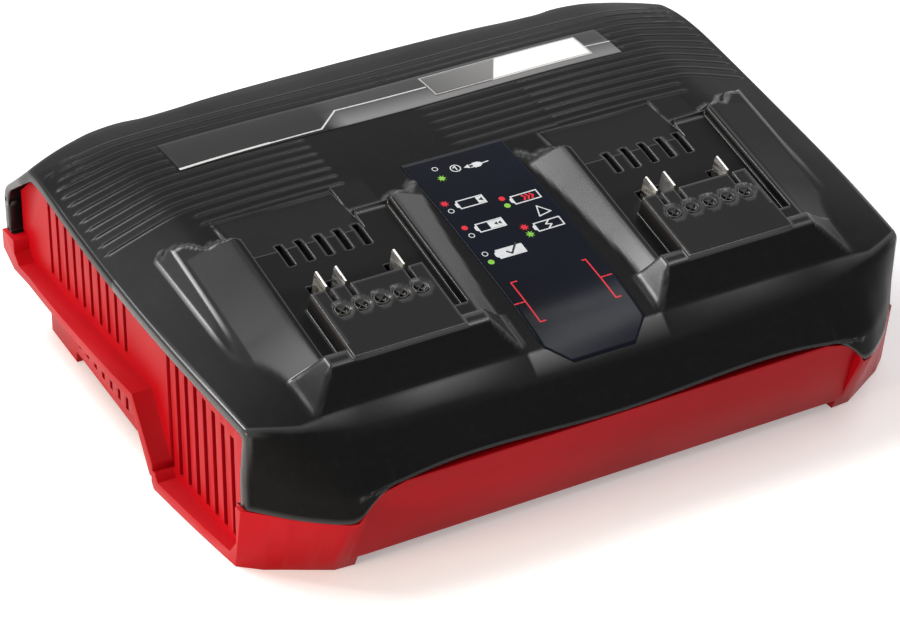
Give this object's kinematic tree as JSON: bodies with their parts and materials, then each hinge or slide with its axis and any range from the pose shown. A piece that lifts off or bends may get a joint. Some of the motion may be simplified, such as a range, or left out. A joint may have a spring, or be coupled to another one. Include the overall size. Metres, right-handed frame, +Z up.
{
  "type": "power tool battery charger",
  "caption": "Wedge-shaped charger: black cover with raised battery docks beside a dark sign panel, bare contact blades, red base with slotted end walls.",
  "frame": {"origin": "middle of the footprint, at the height of the table", "axes": "+X to the right along the front edge, +Y to the back, +Z up; the docks slope down toward the front"},
  "size_m": [0.2932, 0.227, 0.0913],
  "materials": {
    "cover_plastic": "fine satin grain",
    "base_plastic": "satin",
    "film": "gloss with printed signs",
    "strip": "satin print",
    "badge": "satin",
    "carrier": "matte",
    "contact": "bright plated",
    "lead_sleeve": "smooth sleeve",
    "ferrite": "dull",
    "winding_tape": "tape",
    "heatsink_metal": "extruded",
    "board_laminate": "lacquered",
    "lens": "clear",
    "can_sleeve": "shrink sleeve",
    "chip_epoxy": "moulded",
    "copper_coil": "enamelled",
    "fuse_glass": "clear",
    "clip_metal": "plated",
    "terminal_plastic": "moulded",
    "gland_rubber": "matte",
    "screw_steel": "zinc plated"
  },
  "bodies": {
    "root": {"badge_plate": "badge", "base_tub": "base_plastic", "blade_minus_left": "contact", "blade_minus_right": "contact", "blade_plus_left": "contact", "blade_plus_right": "contact", "blade_sense_left": "contact", "blade_sense_right": "contact", "board_screws": "screw_steel", "bulk_capacitor": "can_sleeve", "contact_block_left": "carrier", "contact_block_right": "carrier", "display_film": "film", "dock_leads_left": "lead_sleeve", "dock_leads_right": "lead_sleeve", "fuse_clips": "clip_metal", "heatsink_left": "heatsink_metal", "heatsink_right": "heatsink_metal", "housing_screws": "screw_steel", "inlet_gland": "gland_rubber", "led_board": "board_laminate", "line_choke": "copper_coil", "main_board": "board_laminate", "mains_fuse": "fuse_glass", "mains_leads": "lead_sleeve", "mains_terminal": "terminal_plastic", "output_capacitors": "can_sleeve", "power_transistors": "chip_epoxy", "status_lenses": "lens", "title_strip": "strip", "top_cover": "cover_plastic", "transformer_core_left": "ferrite", "transformer_core_right": "ferrite", "transformer_winding_left": "winding_tape", "transformer_winding_right": "winding_tape"}
  },
  "joints": []
}
